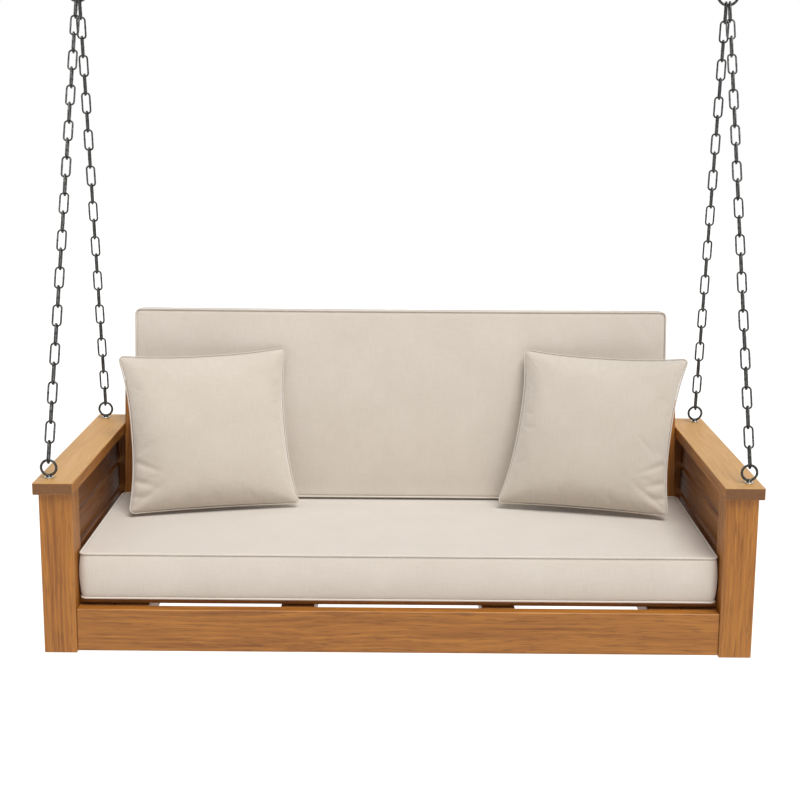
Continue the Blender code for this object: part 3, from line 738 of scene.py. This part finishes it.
def boxed_cover(half, pull=0.0):
    """A boxed cushion cover: two panels and the band between them, one closed mesh in its own
    axes, with x and y across the panels. The sides pull in by pull * (1 - t^2) between corners.
    Returns points, quads, cloth places per corner, and the point numbers of the two seams."""
    half_x, half_y, half_z = half
    columns = int(round(2 * half_x / COVER_STEP)) + 1
    rows = int(round(2 * half_y / COVER_STEP)) + 1
    levels = max(int(round(2 * half_z / COVER_STEP)), 4)
    v, u = np.meshgrid(np.linspace(-1, 1, rows), np.linspace(-1, 1, columns), indexing="ij")
    x, y = round_corners(u * half_x, v * half_y, half_x, half_y, CUSHION_CORNER)
    x = x - u * pull * (1 - v ** 2)
    y = y - v * pull * (1 - u ** 2)
    flat = np.stack([x.ravel(), y.ravel()], -1)
    panel = rows * columns
    rim = rim_order(rows, columns)
    around = len(rim)
    heights = half_z * (1 - 2 * np.arange(1, levels) / levels)
    heights = np.broadcast_to(heights[:, None, None], (levels - 1, around, 1))
    band = np.concatenate([np.repeat(flat[rim][None], levels - 1, 0), heights], -1)
    points = np.concatenate([np.column_stack([flat, np.full(panel, half_z)]),
                             np.column_stack([flat, np.full(panel, -half_z)]),
                             band.reshape(-1, 3)])
    top = grid_quads(rows, columns)
    bottom = top[:, ::-1] + panel
    between = 2 * panel + np.arange((levels - 1) * around).reshape(levels - 1, around)
    numbers = np.concatenate([rim[None], between, rim[None] + panel])
    onward = np.roll(numbers, -1, 1)
    side = np.stack([numbers[:-1], numbers[1:], onward[1:], onward[:-1]], -1).reshape(-1, 4)
    quads = np.concatenate([top, bottom, side])

    steps = np.diff(flat[np.append(rim, rim[0])], axis=0)
    length = np.concatenate([[0], np.cumsum(np.linalg.norm(steps, axis=1))])
    level = np.linspace(half_z, -half_z, levels + 1)
    s = np.broadcast_to(length, (levels + 1, around + 1))
    z = np.broadcast_to(level[:, None], (levels + 1, around + 1))
    strip = np.stack([s, z], -1)
    side_uv = np.stack([strip[:-1, :-1], strip[1:, :-1], strip[1:, 1:], strip[:-1, 1:]], 2)
    corner_uv = np.concatenate([flat[top], flat[bottom - panel], side_uv.reshape(-1, 4, 2)])
    return points, quads, corner_uv, (rim, rim + panel)


def level_bottom(points, lean):
    """Cuts a leaning cushion's bottom level, so that it rests on the seat: each point rises by its
    way behind the front face times tan(lean), all of it at the bottom and none at the top."""
    high = points.max(0)
    behind = high[2] - points[:, 2]
    points[:, 1] += behind * math.tan(lean) * (high[1] - points[:, 1]) / (2 * high[1])


def pillow_cover(corners, sign):
    """A pillow cover, cut full: two panels that share their rim. Across is u * half * (1 - pull *
    (1 - |v|^curve)), up is the same with u and v changed over, and each corner's own shift fades to
    nothing at the other corners. Each panel stands off the rim's plane by the half thickness *
    ((1 - u^2)(1 - v^2))^fullness, a tenth more at the bottom and a tenth less at the top, since
    the filling sinks, and the back panel stands off less than the front one. A fold is a furrow,
    depth * exp(-(off its line / width)^2). It starts at the outer side, which is the `sign` of u,
    and dies away as exp(-(way / length)^2)."""
    count = PILLOW_CELLS + 1
    v, u = np.meshgrid(np.linspace(-1, 1, count), np.linspace(-1, 1, count), indexing="ij")
    p, q = round_corners(u, v, 1, 1, PILLOW_CORNER)
    across = p * PILLOW_HALF[0] * (1 - PILLOW_PULL[0] * (1 - np.abs(q) ** PILLOW_CURVE))
    pull = np.where(q > 0, PILLOW_PULL[1], PILLOW_PULL[2])
    up = q * PILLOW_HALF[1] * (1 - pull * (1 - np.abs(p) ** PILLOW_CURVE))
    for (shift_x, shift_y), (sign_u, sign_v) in zip(corners, ((-1, -1), (1, -1), (-1, 1), (1, 1))):
        share = (1 + sign_u * u) * (1 + sign_v * v) / 4
        across = across + shift_x * share
        up = up + shift_y * share
    swell = PILLOW_HALF_THICKNESS * ((1 - u * u) * (1 - v * v)) ** PILLOW_FULLNESS * (1 - 0.1 * v)
    inward = 1 - sign * u
    for side_v, slope, length, depth in PILLOW_FOLDS:
        off = (v - side_v - slope * inward) / math.hypot(1, slope)
        along = inward / length
        fade = along / (along + FOLD_START) * np.exp(-along ** 2)
        swell = swell - depth * np.exp(-(off / FOLD_WIDTH) ** 2) * fade
    swell = np.maximum(swell, 0.0).ravel()
    flat = np.stack([across.ravel(), up.ravel()], -1)
    rim = rim_order(count, count)
    inside = np.setdiff1d(np.arange(count * count), rim)
    back = np.arange(count * count)
    back[inside] = count * count + np.arange(len(inside))
    points = np.concatenate([np.column_stack([flat, swell]),
                             np.column_stack([flat[inside], -PILLOW_BACK_SHARE * swell[inside]])])
    front_quads = grid_quads(count, count)
    quads = np.concatenate([front_quads, back[front_quads][:, ::-1]])
    corner_uv = np.concatenate([flat[front_quads], flat[front_quads][:, ::-1]])
    return points, quads, corner_uv, rim


def cloth_object(name, points, quads, pinned, pressure, growth):
    """A throwaway object that carries the cloth simulation: air pressure fills it, gravity is off,
    the pinned points hold still, and the cloth is larger than its start by a small share."""
    mesh = bpy.data.meshes.new(name)
    mesh.from_pydata(points.tolist(), [], quads.tolist())
    dummy = bpy.data.objects.new(name, mesh)
    bpy.context.scene.collection.objects.link(dummy)
    cloth = dummy.modifiers.new("cloth", "CLOTH")
    settings = cloth.settings
    settings.quality = 6
    settings.mass = 0.3
    settings.tension_stiffness = 25
    settings.compression_stiffness = 25
    settings.shear_stiffness = 8
    settings.bending_stiffness = 0.6
    settings.air_damping = 4
    settings.effector_weights.gravity = 0
    settings.use_pressure = True
    settings.uniform_pressure_force = pressure
    settings.shrink_min = -growth
    cloth.collision_settings.use_collision = False
    group = dummy.vertex_groups.new(name="pinned")
    group.add(pinned.tolist(), 1.0, "REPLACE")
    settings.vertex_group_mass = "pinned"
    return dummy


def settled(dummies):
    """Steps the scene through the simulation and returns each dummy's points, then removes them."""
    for number in range(1, FRAMES + 1):
        bpy.context.scene.frame_set(number)
    graph = bpy.context.evaluated_depsgraph_get()
    shapes = []
    for dummy in dummies:
        mesh = dummy.evaluated_get(graph).data
        co = np.empty(len(mesh.vertices) * 3)
        mesh.vertices.foreach_get("co", co)
        shapes.append(co.reshape(-1, 3))
    for dummy in dummies:
        bpy.data.objects.remove(dummy)
    bpy.context.scene.frame_set(1)
    return shapes


def welt(name, path, across, body, finish, radius):
    """Piping: a round cord in a strip of canvas, carried along a seam."""
    points, faces = tube(path, radius, across, True, WELT_SIDES)
    steps = np.linalg.norm(np.roll(path, -1, 0) - path, axis=1)
    length = np.concatenate([[0], np.cumsum(steps)])[:, None]
    girth = np.linspace(0, 2 * np.pi * radius, WELT_SIDES + 1)
    strip = np.stack(np.broadcast_arrays(length, girth), -1)
    corner_uv = np.stack([strip[:-1, :-1], strip[:-1, 1:], strip[1:, 1:], strip[1:, :-1]], 2)
    make_piece(name, points, faces, finish, body, corner_uv=corner_uv.reshape(-1, 2))


def smooth_step(value, start, end):
    """0 before start, 1 after end, and a smooth climb between."""
    t = np.clip((value - start) / (end - start), 0, 1)
    return t * t * (3 - 2 * t)


def make_cushions():
    """The seat and back cushions and the two pillows, all four in one run of the simulation. A
    cushion's panels are as far in from its CAD solid as its welts and its bulge stand out."""
    lean = recline_angle()
    turn = lean_turn(lean)

    seat_low, seat_high = map(np.array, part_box("seat_cushion"))
    seat_middle = (seat_low + seat_high) / 2
    seat_half = (seat_high - seat_low) / 2 - (SEAT_END_AIR, BAND_BULGE, WELT_RADIUS)
    seat = boxed_cover(seat_half)

    back_low, back_high = own_box("back_cushion", turn)
    back_low[1] += BACK_CROWN
    back_middle = (back_low + back_high) / 2 @ turn.T
    back_half = (back_high - back_low) / 2 - WELT_RADIUS + (BACK_PAST, 0, 0)
    back = boxed_cover(back_half[[0, 2, 1]], BACK_PULL)
    level_bottom(back[0], lean)

    pillows = {side: pillow_cover(PILLOW_CORNERS[side], sign)
               for side, sign in (("left", -1), ("right", 1))}

    dummies = [cloth_object("seat_air", seat[0], seat[1], np.concatenate(seat[3]),
                            CUSHION_PRESSURE, SEAT_EXCESS),
               cloth_object("back_air", back[0], back[1], np.concatenate(back[3]),
                            CUSHION_PRESSURE, BACK_EXCESS)]
    for side, cover in pillows.items():
        dummies.append(cloth_object(f"pillow_{side}_air", cover[0], cover[1], cover[3],
                                    PILLOW_PRESSURE, PILLOW_EXCESS))
    seat_full, back_full, *pillow_full = settled(dummies)

    finish_box("seat_cushion", seat, seat_full, seat_middle, np.eye(3), SEAT_CROWN, SEAT_FREE)
    finish_box("back_cushion", back, back_full, back_middle, STANDING @ turn.T, BACK_CROWN,
               (-back_half[2], BACK_FREE - back_half[2]))
    for (side, cover), full, sign in zip(pillows.items(), pillow_full, (-1, 1)):
        finish_pillow(side, sign, cover, full)


def make_cover(node, place, quads, finish, corner_uv):
    """A cushion's or pillow's cover, which rides on the body of its own name."""
    piece = make_piece(f"{node}_cover", place, quads, finish, node, [node],
                       corner_uv=corner_uv.reshape(-1, 2))
    smooth = piece.modifiers.new("smooth", "SUBSURF")
    smooth.levels = smooth.render_levels = 1
    return piece


def finish_box(node, cover, full, middle, pose, crown, rest):
    """Scales what the air did to the crown that a foam-filled cushion has, turns the cover from
    its own axes into place, and adds its two welts. The band stands out by bulge * (1 - t^2)
    across its height. Where the cushion rests it stays flat: the far panel, and everything beyond
    the first place in `rest` on the way from the second."""
    start, quads, corner_uv, seams = cover
    moved = (full - start) * (END_SHARE, 1, 1)
    moved *= crown / max(np.abs(moved[:, 2]).max(), crown)
    moved *= smooth_step(start[:, 2], start[:, 2].min(), 0)[:, None]
    half = start.max(0)
    inner = half - CUSHION_CORNER
    outward = (start - np.clip(start, -inner, inner)) * (1, 1, 0)
    outward /= np.maximum(np.linalg.norm(outward, axis=1, keepdims=True), 1e-9)
    moved += BAND_BULGE * (1 - (start[:, 2:] / half[2]) ** 2) * outward
    free = smooth_step(start[:, 1], *rest)
    place = (start + moved * free[:, None]) @ pose + middle
    make_cover(node, place, quads, SEAT_CANVAS, corner_uv)
    up = np.array([0, 0, 1.0]) @ pose
    for number, seam in enumerate(seams, 1):
        welt(f"{node}_welt_{number}", place[seam], up, node, WELT_CANVAS, WELT_RADIUS)


def finish_pillow(side, sign, cover, full):
    """Scales the air's swelling to the pillow's thickness, stands the pillow up, leans it back and
    turns it towards the middle of the seat."""
    quads, corner_uv, rim = cover[1:]
    node = f"pillow_{side}"
    low, high = map(np.array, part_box(node))
    full = full * (1, 1, PILLOW_HALF_THICKNESS / np.abs(full[:, 2]).max())
    c, s = math.cos(-sign * PILLOW_TURN), math.sin(-sign * PILLOW_TURN)
    inward = np.array([[c, s, 0], [-s, c, 0], [0, 0, 1]])
    pose = STANDING @ lean_turn(PILLOW_LEAN).T @ inward
    place = full @ pose + (low + high) / 2 - (0, PILLOW_WELT_RADIUS + PILLOW_AIR, 0)
    make_cover(node, place, quads, PILLOW_CANVAS, corner_uv)
    up = np.array([0, 0, 1.0]) @ pose
    welt(f"{node}_welt", place[rim], up, node, PILLOW_CANVAS, PILLOW_WELT_RADIUS)


# ---------------------------------------------------------------------------------------------
# Camera, light and floor


def make_camera():
    """A short telephoto lens four metres in front, under the rings' height and tipped down at the
    seat. The camera's axes come from pitch, yaw and roll: forward, right and their cross product,
    the last two turned by the roll."""
    pitch, yaw, roll = 0.1979, -0.0036, 0.00655
    forward = np.array([math.sin(yaw) * math.cos(pitch), math.cos(yaw) * math.cos(pitch),
                        -math.sin(pitch)])
    right = np.array([math.cos(yaw), -math.sin(yaw), 0.0])
    up = np.cross(right, forward)
    rolled_right = right * math.cos(roll) + up * math.sin(roll)
    rolled_up = -right * math.sin(roll) + up * math.cos(roll)
    data = bpy.data.cameras.new("camera")
    data.sensor_width = 36.0
    data.lens = 67.5
    camera = bpy.data.objects.new("camera", data)
    place = np.eye(4)
    place[:3, 0], place[:3, 1], place[:3, 2] = rolled_right, rolled_up, -forward
    place[:3, 3] = (0.0159, -4.4312, -0.3902)
    camera.matrix_world = Matrix(place.tolist())
    bpy.context.scene.collection.objects.link(camera)
    bpy.context.scene.camera = camera


def soft_sun(name, azimuth, elevation, strength, spread):
    """A sun as wide as a big diffuser: its light comes from `spread` degrees of the sky round a
    direction given in degrees from the front towards the right, and above the horizon."""
    data = bpy.data.lights.new(name, "SUN")
    data.energy = strength
    data.angle = math.radians(spread)
    sun = bpy.data.objects.new(name, data)
    a, e = math.radians(azimuth), math.radians(elevation)
    towards = Vector((math.sin(a) * math.cos(e), -math.cos(a) * math.cos(e), math.sin(e)))
    sun.rotation_euler = towards.to_track_quat("Z", "Y").to_euler()
    bpy.context.scene.collection.objects.link(sun)


def make_studio():
    """A white surround, which shows behind the swing and in its polish but lights it only dimly,
    and one wide soft sun from the upper right in front."""
    world = bpy.data.worlds.new("white_studio")
    world.use_nodes = True
    tree = world.node_tree
    sky = tree.nodes["Background"]
    sky.inputs["Color"].default_value = (1, 1, 1, 1)
    spread = add_node(tree, "LightPath", output="Is Diffuse Ray")
    strength = add_node(tree, "MapRange", {"Value": spread, "To Min": 1.0, "To Max": SKY_LIGHT})
    tree.links.new(strength, sky.inputs["Strength"])
    bpy.context.scene.world = world
    bpy.context.scene.view_settings.view_transform = "Standard"
    soft_sun("key", SUN_AZIMUTH, SUN_ELEVATION, SUN_LIGHT, SUN_SPREAD)
    angle = np.linspace(0, 2 * np.pi, 65)[:-1]
    points = np.stack([FLOOR_RADIUS * np.cos(angle), FLOOR_RADIUS * np.sin(angle),
                       np.full(len(angle), CAD_LOW.z - FLOOR_DROP)], -1)
    mesh = bpy.data.meshes.new("floor")
    mesh.from_pydata(points.tolist(), [], [list(range(len(angle)))])
    mesh.materials.append(painted_floor())
    floor = bpy.data.objects.new("floor", mesh)
    bpy.context.scene.collection.objects.link(floor)


make_camera()
make_studio()
make_wood()
make_metalwork()
make_cushions()
